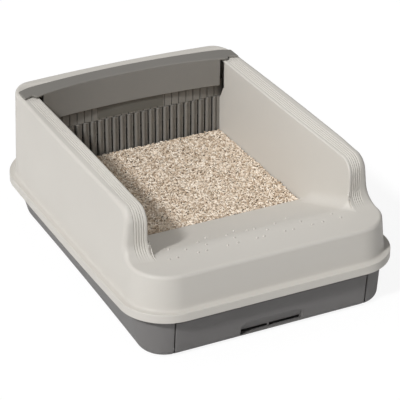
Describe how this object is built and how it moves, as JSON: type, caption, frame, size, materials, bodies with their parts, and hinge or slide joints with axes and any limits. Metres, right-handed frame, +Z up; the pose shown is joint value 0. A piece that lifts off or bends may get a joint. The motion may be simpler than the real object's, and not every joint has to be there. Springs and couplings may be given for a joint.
{
  "type": "drawer litter box",
  "caption": "Open litter box for a cat: high-walled shell with a low front entry and ramp, on a base with a slotted litter tray and a pull-out drawer.",
  "frame": {"origin": "on the floor, under the middle of the whole box", "axes": "front and drawer at -Y, +X to the right seen from the front, +Z up"},
  "size_m": [0.4204, 0.555, 0.2034],
  "materials": {
    "cream_plastic": "matte moulded",
    "grey_plastic": "matte moulded",
    "litter": "loose pellets",
    "pad": "quilted non-woven",
    "foot_rubber": "matte"
  },
  "bodies": {
    "base": {"base_tub": "grey_plastic", "foot_front_left": "foot_rubber", "foot_front_right": "foot_rubber", "foot_rear_left": "foot_rubber", "foot_rear_right": "foot_rubber"},
    "drawer": {"drawer_pan": "grey_plastic", "drawer_front": "grey_plastic", "absorbent_pad": "pad"},
    "tray": {"sieve_tray": "grey_plastic", "rear_grille": "grey_plastic", "litter_bed": "litter"},
    "shell": {"upper_shell": "cream_plastic"},
    "cap": {"rear_cap": "grey_plastic"}
  },
  "joints": [
    {"name": "drawer_slide", "type": "slide", "parent": "base", "child": "drawer", "axis": [0, -1, 0], "range_m": [0, 0.4]},
    {"name": "shell_lift", "type": "slide", "parent": "base", "child": "shell", "axis": [0, 0, 1], "range_m": [0, 0.25]},
    {"name": "tray_lift", "type": "slide", "parent": "base", "child": "tray", "axis": [0, 0, 1], "range_m": [0, 0.075]},
    {"name": "cap_lift", "type": "slide", "parent": "shell", "child": "cap", "axis": [0, 0, 1], "range_m": [0, 0.07]}
  ],
  "couplings": [
    {"joint": "tray_lift", "follows": "shell_lift", "ratio": 0.3}
  ]
}
